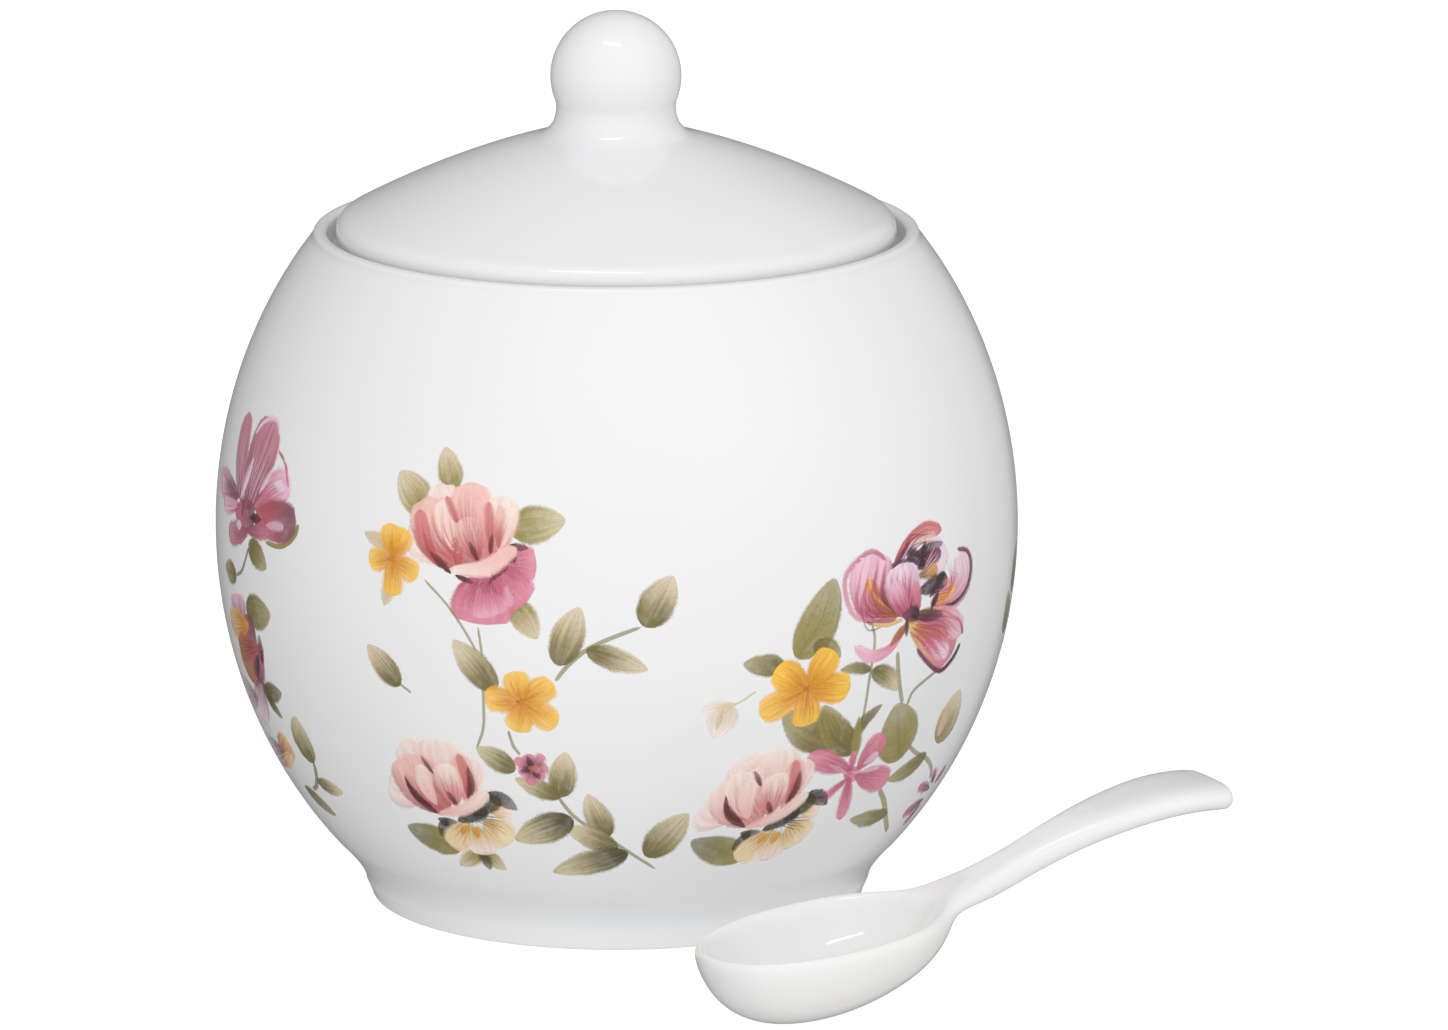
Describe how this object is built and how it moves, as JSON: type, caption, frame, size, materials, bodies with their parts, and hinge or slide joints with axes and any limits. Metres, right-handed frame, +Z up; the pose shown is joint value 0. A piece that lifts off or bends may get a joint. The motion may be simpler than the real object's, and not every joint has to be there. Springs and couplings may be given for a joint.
{
  "type": "lidded sugar bowl",
  "caption": "Round white porcelain sugar bowl on a foot ring, with a loose domed lid that sits in the mouth on a ledge, a ball knob, floral prints and a small porcelain ladle.",
  "frame": {"origin": "on the bowl's axis, on the surface that its foot ring stands on", "axes": "+Z up along the axis that the bowl and the lid are turned on; -Y towards the viewer, where the ladle stands in front of the bowl; +X to the right, where its handle points"},
  "size_m": [0.1315, 0.1293, 0.1171],
  "materials": {
    "bowl_porcelain": "white porcelain under a clear gloss glaze, printed with flowers over the glaze, bare and matt where the foot ring stands",
    "lid_porcelain": "white porcelain under a clear gloss glaze, plain",
    "spoon_porcelain": "slightly warm white porcelain under a clear gloss glaze, plain"
  },
  "bodies": {
    "bowl": {"bowl": "bowl_porcelain"},
    "lid": {"lid": "lid_porcelain"},
    "spoon": {"spoon": "spoon_porcelain"}
  },
  "joints": [
    {"name": "lid_lift", "type": "slide", "parent": "bowl", "child": "lid", "axis": [0, 0, 1], "range_m": [0, 0.06]},
    {"name": "spoon_lift", "type": "slide", "parent": "bowl", "child": "spoon", "axis": [0, 0, 1], "range_m": [0, 0.13]}
  ]
}
